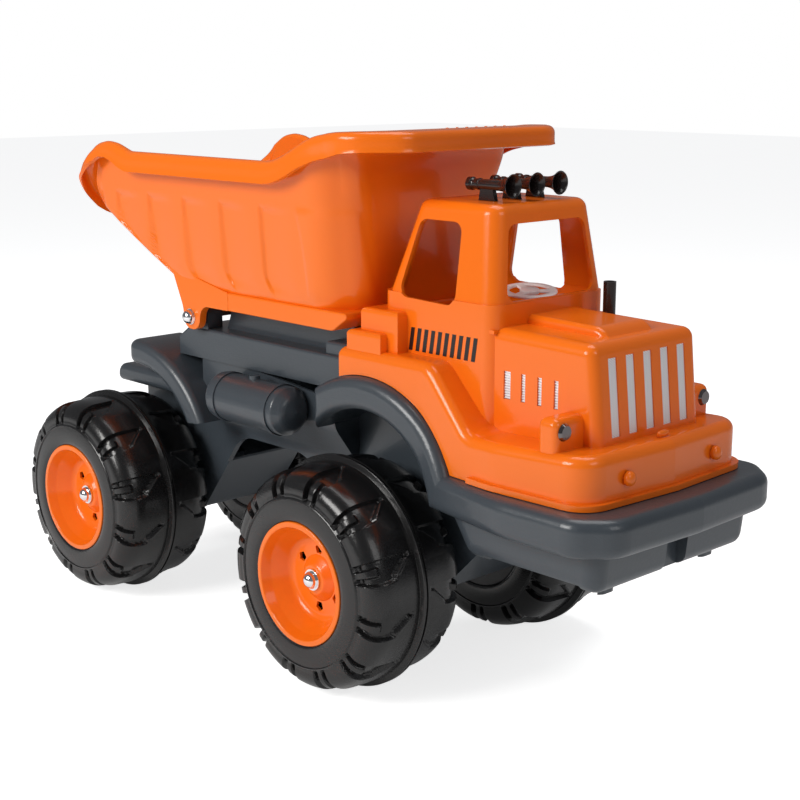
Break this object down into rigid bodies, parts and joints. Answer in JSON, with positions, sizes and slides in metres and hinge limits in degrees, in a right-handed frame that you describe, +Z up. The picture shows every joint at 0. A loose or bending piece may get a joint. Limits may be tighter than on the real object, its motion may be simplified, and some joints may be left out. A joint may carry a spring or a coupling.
{
  "type": "toy dump truck",
  "caption": "Large ride-beside toy dump truck: tipping scoop bed with a canopy, open cab with steering wheel, raised fender chassis and chunky free-rolling wheels",
  "frame": {"origin": "on the floor, under the middle of the truck's length and width", "axes": "+X is forward, +Y is the truck's left, +Z is up"},
  "size_m": [0.732, 0.3198, 0.4651],
  "materials": {
    "grey_plastic": "moulded slate grey plastic, satin, fine scuffs",
    "orange_plastic": "moulded bright orange plastic, high gloss",
    "tyre_plastic": "blow-moulded black plastic, glossy",
    "black_plastic": "black plastic",
    "brown_plastic": "dark brown-black plastic",
    "white_plastic": "white plastic",
    "silver_film": "silver ribbed film",
    "black_sticker": "black printed sticker",
    "steel": "zinc plated steel",
    "chrome_trim": "bright chrome",
    "dark_chrome": "dark faceted chrome"
  },
  "bodies": {
    "truck": {"chassis": "grey_plastic", "cab_shell": "orange_plastic", "rear_axle": "steel", "front_axle": "steel", "axle_spacers": "black_plastic", "exhaust_pipe": "brown_plastic", "grille_strips": "silver_film", "shell_screws": "steel", "horn_right": "brown_plastic", "horn_middle": "brown_plastic", "horn_left": "brown_plastic", "headlight_left": "dark_chrome", "vent_strips_left": "silver_film", "stripe_sticker_left": "black_sticker", "headlight_right": "dark_chrome", "vent_strips_right": "silver_film", "stripe_sticker_right": "black_sticker", "washer_front_left": "chrome_trim", "axle_nut_front_left": "chrome_trim", "washer_rear_left": "chrome_trim", "axle_nut_rear_left": "chrome_trim", "washer_front_right": "chrome_trim", "axle_nut_front_right": "chrome_trim", "washer_rear_right": "chrome_trim", "axle_nut_rear_right": "chrome_trim"},
    "bed": {"dump_bed": "orange_plastic", "hinge_rod": "steel", "hinge_washers": "chrome_trim", "hinge_nut_left": "chrome_trim", "hinge_nut_right": "chrome_trim"},
    "steering": {"steering_wheel": "white_plastic", "steering_column": "white_plastic"},
    "wheel_front_left": {"tyre_outer_front_left": "tyre_plastic", "tyre_inner_front_left": "tyre_plastic", "rim_front_left": "orange_plastic", "hub_front_left": "black_plastic"},
    "wheel_rear_left": {"tyre_outer_rear_left": "tyre_plastic", "tyre_inner_rear_left": "tyre_plastic", "rim_rear_left": "orange_plastic", "hub_rear_left": "black_plastic"},
    "wheel_front_right": {"tyre_outer_front_right": "tyre_plastic", "tyre_inner_front_right": "tyre_plastic", "rim_front_right": "orange_plastic", "hub_front_right": "black_plastic"},
    "wheel_rear_right": {"tyre_outer_rear_right": "tyre_plastic", "tyre_inner_rear_right": "tyre_plastic", "rim_rear_right": "orange_plastic", "hub_rear_right": "black_plastic"}
  },
  "joints": [
    {"name": "bed_tilt", "type": "hinge", "parent": "truck", "child": "bed", "pos_m": [-0.156, 0, 0.2865], "axis": [0, -1, 0], "range_deg": [0, 48]},
    {"name": "steering_turn", "type": "hinge", "parent": "truck", "child": "steering", "pos_m": [0.189, 0, 0.338], "axis": [0, 0, 1], "continuous": true},
    {"name": "wheel_front_left_spin", "type": "hinge", "parent": "truck", "child": "wheel_front_left", "pos_m": [0.081, 0.1065, 0.1], "axis": [0, 1, 0], "continuous": true},
    {"name": "wheel_rear_left_spin", "type": "hinge", "parent": "truck", "child": "wheel_rear_left", "pos_m": [-0.266, 0.1065, 0.1], "axis": [0, 1, 0], "continuous": true},
    {"name": "wheel_front_right_spin", "type": "hinge", "parent": "truck", "child": "wheel_front_right", "pos_m": [0.081, -0.1065, 0.1], "axis": [0, 1, 0], "continuous": true},
    {"name": "wheel_rear_right_spin", "type": "hinge", "parent": "truck", "child": "wheel_rear_right", "pos_m": [-0.266, -0.1065, 0.1], "axis": [0, 1, 0], "continuous": true}
  ]
}
